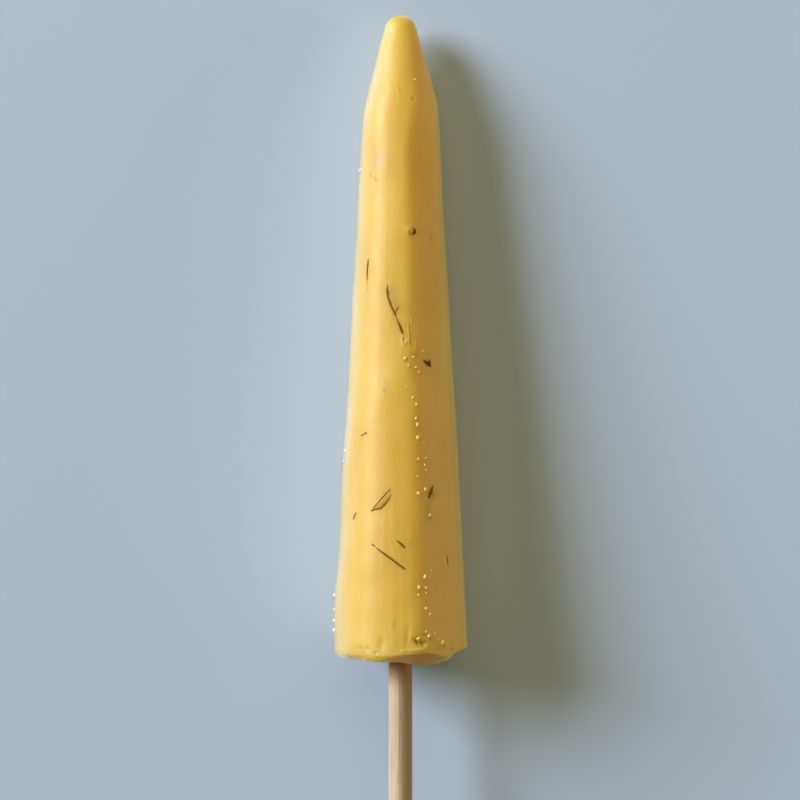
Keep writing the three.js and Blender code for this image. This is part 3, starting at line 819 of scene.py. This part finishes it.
def thread_material():
    """Wet dark plant fibre, from nearly black brown to olive, mottled along its length."""
    material, nodes, links, shader = blank_material("thread")
    place = nodes.new("ShaderNodeTexCoord").outputs["Object"]
    tone = node_in(nodes, "ShaderNodeAttribute", attribute_name="tone").outputs["Fac"]
    mottle = noise(nodes, links, place, scale=1500, detail=3)
    mottle = ramp(nodes, links, mottle, low=0.4, high=0.65)
    colour = mixed(nodes, links, tone, THREAD_BROWN, THREAD_OLIVE)
    spots = scaled(nodes, links, mottle, factor=0.35)
    colour = mixed(nodes, links, spots, colour, THREAD_MOTTLE)
    links.new(colour, shader.inputs["Base Color"])
    shader.inputs["Roughness"].default_value = 0.45
    shader.inputs["Specular IOR Level"].default_value = 0.2
    bump = node_in(nodes, "ShaderNodeBump", Strength=0.5, Distance=0.00005)
    links.new(mottle, bump.inputs["Height"])
    links.new(bump.outputs["Normal"], shader.inputs["Normal"])
    return material


threads_piece.data.materials.append(thread_material())
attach(threads_piece, "root")


# The stains and painted light
# Colour that the threads and the scuffs leave in the ice's skin, painted shade in the pits, in a
# streak and on the rim's chamfers, and a thin pale frost on its flanks that is partly a painted
# highlight on the lit left flank, kept as attributes of its points that the ice's material reads.

THREAD_STAIN_REACH = 0.1  # past the thread's half-width
THREAD_STAIN = 0.25
PIT_SHADE_REACH = 0.9  # of the pit's radius
PIT_SHADE_LENGTH = 0.01
SCUFF_PLACES = [(-32, 103.6), (-36, 101.6)]
SCUFF_REACH = 1.5
SCUFF_STRENGTH = 0.5
SCUFF_MIDDLE = 0.8
SCUFF_PATCHES = (0.2, 31, 12, (8, 30), (-2, 2))
FROST_HIGHLIGHT_MIDDLE = 0.9
FROST_HIGHLIGHT_PATCHES = (0.2, 32, 12, (2, 9), (-0.3, 0.3))
FROST_HIGHLIGHT_TIP = (95, 134)  # heights over which the left frost and painted highlight change to the tip's
LEFT_FROST_HIGHLIGHT = 0.9
LEFT_FROST_HIGHLIGHT_STARTS = (-35, -17)  # angle where it begins, on the body and at the tip
LEFT_FROST_HIGHLIGHT_FULL = (-92, -88)  # angle where it is full
LEFT_FROST_HIGHLIGHT_END = (-145, -95)
RIGHT_FROST = 0.3
RIGHT_FROST_START = (95, 120)
RIGHT_FROST_END = (160, 130)
RIM_BLEND = (-0.1, 0.3)  # how far below the wall's end the chamfers' painted shade begins and is full
CHAMFER_SHADE_POWER = 2  # narrows the painted shade to the middle of a chamfer
BASE_LIMIT = 5  # the base is below this height
# Distances from the axis between which a colour fades in from the base to the rim.
CHAMFER_SHADE_ENDS = (9.5, 11.5)
FLANK_ENDS = (11.6, 12.9)

wall_height = ice_rows[..., 1]
wall_angle = np.degrees(np.arctan2(ice_rows[..., 0], ice_rows[..., 2]))


def spread_of(places, reach, strength):
    """How strongly a line marks each wall point, as stain or painted shade: a bell shape over the
    distance to it.
    """
    distance, _ = distance_to_line(wall_angle, wall_height, [place[:2] for place in places])
    return strength * np.exp(-((distance / reach) ** 2))


def frost_and_highlight_share(angle, height):
    """Frost on the two flanks, which on the lit left flank is partly a painted highlight: it
    thickens towards the left edge, reaches further round near the tip, is thin at the right, and
    fades out towards the underside. Each limit is a soft step."""
    near_tip = smooth_step(height, FROST_HIGHLIGHT_TIP)
    limits = between(LEFT_FROST_HIGHLIGHT_STARTS, near_tip), between(LEFT_FROST_HIGHLIGHT_FULL, near_tip)
    left = LEFT_FROST_HIGHLIGHT * smooth_step(angle, limits) * smooth_step(angle, LEFT_FROST_HIGHLIGHT_END)
    right = smooth_step(angle, RIGHT_FROST_START) * smooth_step(angle, RIGHT_FROST_END)
    return left + RIGHT_FROST * right


def off_base(ends):
    """1 on the wall and the rim, fading to 0 on the base between two distances from the axis."""
    reach = np.hypot(ice_rows[..., 0], ice_rows[..., 2])
    return np.where(wall_height > BASE_LIMIT, 1, smooth_step(reach, ends))


stain_and_shade = np.zeros(wall_height.shape)
for half, _, places in shown_and_hidden:
    stain_and_shade = np.maximum(stain_and_shade, spread_of(places, half + THREAD_STAIN_REACH, THREAD_STAIN))
for strength, reach, places in DEEP_STAINS_AND_SHADE:
    stain_and_shade = np.maximum(stain_and_shade, spread_of(places, reach, strength))
# Each pit is darkened by its own depth: painted shade in the pits.
for centre, level, size, depth in PITS:
    spot = [(centre, level), (centre, level + PIT_SHADE_LENGTH)]
    stain_and_shade = np.maximum(stain_and_shade, spread_of(spot, size * PIT_SHADE_REACH, depth))
stain_and_shade *= off_base(FLANK_ENDS)
at_rim = smooth_step(rim_start(wall_angle) - wall_height, RIM_BLEND)
# The rim's chamfers, which face down away from the light, get a darker colour: painted shade.
chamfer_shade = at_rim * off_base(CHAMFER_SHADE_ENDS) * chamfered(wall_angle)[0] ** CHAMFER_SHADE_POWER
scuff = spread_of(SCUFF_PLACES, SCUFF_REACH, SCUFF_STRENGTH)
scuff *= SCUFF_MIDDLE + ripples(wall_angle, wall_height, SCUFF_PATCHES)
frost_and_highlight = frost_and_highlight_share(wall_angle, wall_height)
frost_and_highlight *= FROST_HIGHLIGHT_MIDDLE + ripples(wall_angle, wall_height, FROST_HIGHLIGHT_PATCHES)
frost_and_highlight *= off_base(FLANK_ENDS)
for name, values in (("stain_and_shade", stain_and_shade), ("scuff", scuff), ("frost_and_highlight", frost_and_highlight), ("chamfer_shade", chamfer_shade)):
    with_ends = np.concatenate([[0], values.ravel(), [0]])
    give_points(ice_mesh, name, np.clip(with_ends, 0, 1))


# The beads
# Melt that beaded on the skin and froze again, in a loose line down the shown ridge, along the
# left edge and on two hidden ridges. Each bead is a low dome, paler than the ice under it; the
# paler cream is partly a painted highlight for the light that the raised beads catch.

# Angle, height and radius of each bead on the shown side.
BEADS = [
    (5.4, 62.2, 0.34), (14.4, 62.6, 0.32), (26.4, 63.7, 0.26), (16.9, 60.4, 0.28),
    (8.9, 60.7, 0.24), (20.9, 59.4, 0.28), (6.9, 56.4, 0.22), (13.4, 54.2, 0.28),
    (16.9, 52.8, 0.3), (16.4, 50, 0.3), (17.9, 48.7, 0.42), (17.9, 46.1, 0.44),
    (24.9, 45.1, 0.26), (34.4, 42.8, 0.24), (26.4, 41.9, 0.28), (17.9, 41.7, 0.3),
    (25.4, 40.5, 0.3), (26.4, 39.5, 0.26), (16.9, 38.3, 0.2), (17.4, 34.8, 0.42),
    (24.9, 35.5, 0.4), (29.4, 30.2, 0.42), (39.9, 34.4, 0.2), (22.4, 17.8, 0.46),
    (16.4, 15.7, 0.38), (22.9, 15.5, 0.36), (23.1, 14.5, 0.28), (15.9, 14.2, 0.28),
    (30.4, 14.2, 0.3), (22.4, 11.4, 0.36), (26.4, 10.2, 0.34), (29.4, 18.9, 0.2),
    (15.4, 5.3, 0.42), (24.9, 5.8, 0.42), (21.9, 6.7, 0.26), (30.9, 6.2, 0.26),
    (32.9, 4.9, 0.24), (38.4, 4.3, 0.56), (42.4, 3.4, 0.26), (-88, 13.1, 0.42),
    (-86, 10.2, 0.3), (-83, 7.9, 0.42), (-83, 5.9, 0.42), (-74, 43.2, 0.34),
    (-75, 41.1, 0.34), (-74, 101.3, 0.38), (28.5, 119.8, 0.26),
]

# Clusters on the hidden ridges: angle, height, spread round and along, and how many.
BEAD_CLUSTERS = [(107, 66, 5, 9, 6), (110, 22, 6, 11, 8), (240, 48, 6, 14, 8), (-120, 20, 9, 9, 6)]
CLUSTER_RADII = (0.24, 0.4)
CLUSTER_FINENESS = 2  # power that makes small beads common
BEAD_SINK = 0.2  # of its radius
BEAD_GROWTH = 1.12
BEAD_STRETCHES = (0.9, 1.15)
BEAD_UNEVENNESS = 0.1
BEAD_LOBES = 3
LOBE_STARTS = (0, 6)
PLACE_SEED = 61
SHAPE_SEED = 62
BEAD_ROWS = 8
BEAD_SIDES = 12
NEARBY = 0.1  # distance that the wall's direction is measured over


def bead_places():
    """The beads of the shown side, and a drawn spot in each hidden cluster's spread."""
    draw = np.random.default_rng(PLACE_SEED)
    places = list(BEADS)
    for angle, height, across, along, count in BEAD_CLUSTERS:
        for _ in range(count):
            radius = between(CLUSTER_RADII, draw.random() ** CLUSTER_FINENESS)
            spot = angle + across * draw.uniform(-1, 1), height + along * draw.uniform(-1, 1)
            places.append((*spot, radius))
    return np.array(places)


def beads_mesh():
    """All beads as one mesh: a round grid for each, drawn out a little along or across the
    wall, sunk in it, with an uneven outline."""
    angle, height, radius = bead_places().T
    radius = radius * BEAD_GROWTH
    draw = np.random.default_rng(SHAPE_SEED)
    centre = surface(angle, height, -BEAD_SINK * radius)
    outward = unit(surface(angle, height, 1.0) - surface(angle, height))
    along = unit(surface(angle, height + NEARBY) - surface(angle, height - NEARBY))
    side = unit(np.cross(along, outward))
    polar = np.pi * (np.arange(1, BEAD_ROWS) / BEAD_ROWS)[:, None]
    turn = 2 * np.pi * (np.arange(BEAD_SIDES) / BEAD_SIDES)[None, :]
    local = np.stack([np.sin(polar) * np.cos(turn), np.sin(polar) * np.sin(turn),
                      np.cos(polar) * np.ones_like(turn)], -1)
    meshes = []
    for i in range(len(radius)):
        stretch = draw.uniform(*BEAD_STRETCHES)
        lobes = np.sin(BEAD_LOBES * turn + draw.uniform(*LOBE_STARTS))
        uneven = 1 + BEAD_UNEVENNESS * lobes * np.sin(polar)
        shape = local * radius[i] * uneven[..., None]
        basis = np.stack([side[i] / stretch**0.5, along[i] * stretch, outward[i]])
        rows = centre[i] + shape @ basis
        ends = centre[i] + radius[i] * outward[i], centre[i] - radius[i] * outward[i]
        one = closed_skin("bead", rows, *ends)
        give_points(one, "frost_and_highlight", frost_and_highlight_share(angle[i], height[i]))
        meshes.append(one)
    return meshes


# Paler cream, partly a painted highlight for the light that the raised beads catch.
BEAD_CREAM_HIGHLIGHT = (0.95, 0.76, 0.33)
BEAD_FROST_HIGHLIGHT = (0.95, 0.93, 0.86)


def bead_material():
    """Clearer refrozen ice: paler, smoother and wetter than the skin under it. The paler cream is
    partly a painted highlight for the light that the raised beads catch, and the frost on the
    flanks is partly a painted highlight too.
    """
    material, nodes, links, shader = blank_material("refrozen_bead")
    place = nodes.new("ShaderNodeTexCoord").outputs["Object"]
    clouds = noise(nodes, links, place, scale=900, detail=2)
    clouds = ramp(nodes, links, clouds, low=0.35, high=0.65)
    colour = mixed(nodes, links, clouds, BEAD_CREAM_HIGHLIGHT, ICE_PALE)
    frost_highlight_share = node_in(nodes, "ShaderNodeAttribute", attribute_name="frost_and_highlight").outputs["Fac"]
    colour = mixed(nodes, links, frost_highlight_share, colour, BEAD_FROST_HIGHLIGHT)
    links.new(colour, shader.inputs["Base Color"])
    shader.inputs["Roughness"].default_value = 0.25
    shader.inputs["Subsurface Weight"].default_value = 0.3
    shader.inputs["Subsurface Radius"].default_value = (1.0, 0.6, 0.2)
    shader.inputs["Subsurface Scale"].default_value = 0.0006
    return material


beads_piece = joined("beads", beads_mesh())
beads_piece.data.materials.append(bead_material())
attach(beads_piece, "root")


# The stick
# A plain round rod of pale wood, turned and cut square, its ends eased. Its fibres run along
# it as fine raised lines, the part nearest the ice is darker, partly damp and partly painted
# shade under the ice, and its side turned from the light has painted shade.

STICK_CHAMFER = 0.4
STICK_SIDES = 96
STICK_ROWS = 240
EASES = (0.25, 0.55, 0.8, 1.0)  # shares of the chamfer where its rings are
CUT_RINGS = (0.75, 0.5, 0.25)  # shares of the radius on the cut ends
FIBRES = (0.016, 41, 18, (8, 40), (-0.08, 0.08))
UNEVENNESS = (0.02, 42, 8, (2, 6), (-0.1, 0.1))
FIBRE_ROOM = 0.03  # the wood is thinner by this, which its fibres fill
DAMP_AND_SHADE_LENGTH = 6  # of the wood below the ice
PAINTED_SHADE_SIDE = 80  # middle of the side with painted shade
PAINTED_SHADE_EDGE = 92  # its half-width in degrees
PAINTED_SHADE_BLEND = 26  # and how far its edge fades
PAINTED_SHADE_WANDER = (5, 43, 8, (0, 3), (-0.12, 0.12))
PAINTED_SHADE_MIDDLE = 0.5  # in the middle of the cut ends


def eased_end(row, level, step):
    """Rings from the rod's last row to the cut end: the reach shrinks by the square of the
    share of the chamfer, and on the flat cut in even steps."""
    rings = []
    for ease in EASES:
        ring = row * np.array([1, 0, 1]) * (1 - STICK_CHAMFER * ease**2 / STICK_RADIUS)
        ring[:, 1] = level + step * STICK_CHAMFER * (1 - ease)
        rings.append(ring)
    flat = [rings[-1] * np.array([share, 1, share]) for share in CUT_RINGS]
    return np.array(rings + flat)


def stick_rows():
    """Rings of points along the rod: a round of the stick's radius with fine lines along it,
    between two eased and slightly uneven cut ends."""
    angle = np.linspace(-180, 180, STICK_SIDES, endpoint=False)[None, :]
    share = np.linspace(0, 1, STICK_ROWS)[:, None]
    height = -STICK_OUT + STICK_CHAMFER + (STICK_LENGTH - 2 * STICK_CHAMFER) * (1 - share)
    fibres = ripples(angle, height, FIBRES) + ripples(angle, height, UNEVENNESS)
    radius = STICK_RADIUS - FIBRE_ROOM + fibres
    turn = np.radians(angle)
    ones = np.ones_like(radius)
    body = np.stack([radius * np.sin(turn), height * ones, radius * np.cos(turn)], -1)
    top = eased_end(body[0], STICK_LENGTH - STICK_OUT, -1)
    bottom = eased_end(body[-1], -STICK_OUT, 1)
    return np.concatenate([top[::-1], body, bottom])


rod_rows = stick_rows()
rod_ends = [0, STICK_LENGTH - STICK_OUT, 0], [0, -STICK_OUT, 0]
stick_mesh = closed_skin("stick_wood", rod_rows, *rod_ends)
stick_piece = new_piece("stick_rod", stick_mesh)

# The wood is darker over the last stretch below the ice: partly damp, partly painted shade under
# the ice.
lying = np.empty(len(stick_mesh.vertices) * 3)
stick_mesh.vertices.foreach_get("co", lying)
rod_height = (lying.reshape(-1, 3)[:, 1] / METRES - SHIFT) / np.cos(LEAN)
give_points(stick_mesh, "damp_and_shade", np.clip((rod_height + DAMP_AND_SHADE_LENGTH) / DAMP_AND_SHADE_LENGTH, 0, 1))

# The rod's side turned from the light, right of the shown side, with a wandering edge: painted
# shade.
rod_angle = np.degrees(np.arctan2(rod_rows[..., 0], rod_rows[..., 2]))
edge = PAINTED_SHADE_EDGE + ripples(rod_angle, rod_rows[..., 1], PAINTED_SHADE_WANDER)
from_painted_shade = turn_from(PAINTED_SHADE_SIDE, rod_angle)
painted_shade = smooth_step(from_painted_shade, (-edge, -edge + PAINTED_SHADE_BLEND))
painted_shade *= smooth_step(from_painted_shade, (edge, edge - PAINTED_SHADE_BLEND))
give_points(stick_mesh, "painted_shade", np.concatenate([[PAINTED_SHADE_MIDDLE], painted_shade.ravel(), [PAINTED_SHADE_MIDDLE]]))

WOOD_PALE = (0.76, 0.59, 0.44)
WOOD_DARK = (0.55, 0.40, 0.27)
# Painted shade on the rod's side turned from the light.
WOOD_PAINTED_SHADE = (0.40, 0.26, 0.16)
# Damp wood and painted shade under the ice.
WOOD_DAMP_AND_SHADE = (0.50, 0.20, 0.055)
WOOD_VESSEL = (0.30, 0.13, 0.045)


def wood_material():
    """Sanded pale wood: fibres drawn out along the rod, a few darker vessels, painted shade on
    the side turned from the light, and an end under the ice that is darker, partly damp and
    partly painted shade."""
    material, nodes, links, shader = blank_material("pale_wood")
    place = nodes.new("ShaderNodeTexCoord").outputs["Object"]
    fibres = noise(nodes, links, place, scale=1300, detail=4, stretch=0.02)
    fibres = ramp(nodes, links, fibres, low=0.35, high=0.7)
    bands = noise(nodes, links, place, scale=420, detail=2, stretch=0.03)
    bands = ramp(nodes, links, bands, low=0.4, high=0.65)
    vessels = noise(nodes, links, place, scale=2600, detail=2, stretch=0.03)
    vessels = ramp(nodes, links, vessels, low=0.6, high=0.75)
    painted_shade_share = node_in(nodes, "ShaderNodeAttribute", attribute_name="painted_shade").outputs["Fac"]
    damp_and_shade = node_in(nodes, "ShaderNodeAttribute", attribute_name="damp_and_shade").outputs["Fac"]
    colour = mixed(nodes, links, scaled(nodes, links, fibres, factor=0.45), WOOD_PALE, WOOD_DARK)
    for pattern, factor, tint in (
        (bands, 0.35, WOOD_DARK),
        (painted_shade_share, 0.75, WOOD_PAINTED_SHADE),
        (vessels, 0.6, WOOD_VESSEL),
        (damp_and_shade, 0.9, WOOD_DAMP_AND_SHADE),
    ):
        colour = mixed(nodes, links, scaled(nodes, links, pattern, factor), colour, tint)
    links.new(colour, shader.inputs["Base Color"])
    shader.inputs["Roughness"].default_value = 0.62
    shader.inputs["Sheen Weight"].default_value = 0.5
    shader.inputs["Sheen Roughness"].default_value = 0.3
    bump = node_in(nodes, "ShaderNodeBump", Strength=0.6, Distance=0.00006)
    links.new(fibres, bump.inputs["Height"])
    links.new(bump.outputs["Normal"], shader.inputs["Normal"])
    return material


stick_mesh.materials.append(wood_material())
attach(stick_piece, "root")
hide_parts("stick")


# The floor and the light
# A plain pale blue floor under the lolly, a broad soft light low at the left and a little
# towards the tip, two weaker warm ones low at the right and beyond the tip, and an even room.

FLOOR_SIDE = 6.0  # metres
FLOOR_DROP = 0.00002  # metres, which keep the floor clear of the flat that rests on it
FLOOR_PALE = (0.58, 0.72, 0.96)

# Name, the two angles as in area_light, distance and side in metres, watts and colour.
LIGHTS = [
    ("key_light", -64, 26, 3.0, 1.38, 99.5, (0.94, 0.96, 1.0)),
    ("edge_light", 77, 0, 1.3, 0.3, 2.3, (1.0, 0.80, 0.42)),
    ("fill_light", 45, 80, 1.6, 1.6, 6.0, (1.0, 0.80, 0.38)),
]
ROOM_COLOUR = (0.97, 0.83, 0.47, 1)
ROOM_STRENGTH = 0.12

floor_mesh = bpy.data.meshes.new("floor")
half_side = FLOOR_SIDE / 2
corners = [
    (across * half_side, along * half_side, -FLOOR_DROP)
    for across, along in ((-1, -1), (1, -1), (1, 1), (-1, 1))
]
floor_mesh.from_pydata(corners, [], [(0, 1, 2, 3)])
floor_material, _, _, floor_shader = blank_material("floor_paper")
floor_shader.inputs["Base Color"].default_value = (*FLOOR_PALE, 1)
floor_shader.inputs["Roughness"].default_value = 0.9
floor_shader.inputs["Specular IOR Level"].default_value = 0.2
floor_mesh.materials.append(floor_material)
new_piece("floor", floor_mesh)

aim = Vector(laid_down([0, aim_height, 0]))


def area_light(name, side_angle, towards_tip, distance, size, energy, colour):
    """A square light at side_angle degrees from straight up, positive to the right, turned
    towards_tip degrees round to the tip's side, facing the lolly's middle."""
    data = bpy.data.lights.new(name, "AREA")
    data.shape = "SQUARE"
    data.size = size
    data.energy = energy
    data.color = colour
    light = bpy.data.objects.new(name, data)
    across = np.sin(np.radians(side_angle))
    direction = Vector((
        across * np.cos(np.radians(towards_tip)),
        abs(across) * np.sin(np.radians(towards_tip)),
        np.cos(np.radians(side_angle)),
    ))
    light.location = aim + direction * distance
    light.rotation_mode = "QUATERNION"
    light.rotation_quaternion = direction.to_track_quat("Z", "Y")
    bpy.context.scene.collection.objects.link(light)


for light_values in LIGHTS:
    area_light(*light_values)

room = bpy.data.worlds.new("room")
room.use_nodes = True
room.node_tree.nodes["Background"].inputs["Color"].default_value = ROOM_COLOUR
room.node_tree.nodes["Background"].inputs["Strength"].default_value = ROOM_STRENGTH
bpy.context.scene.world = room
bpy.context.scene.view_settings.view_transform = "Standard"
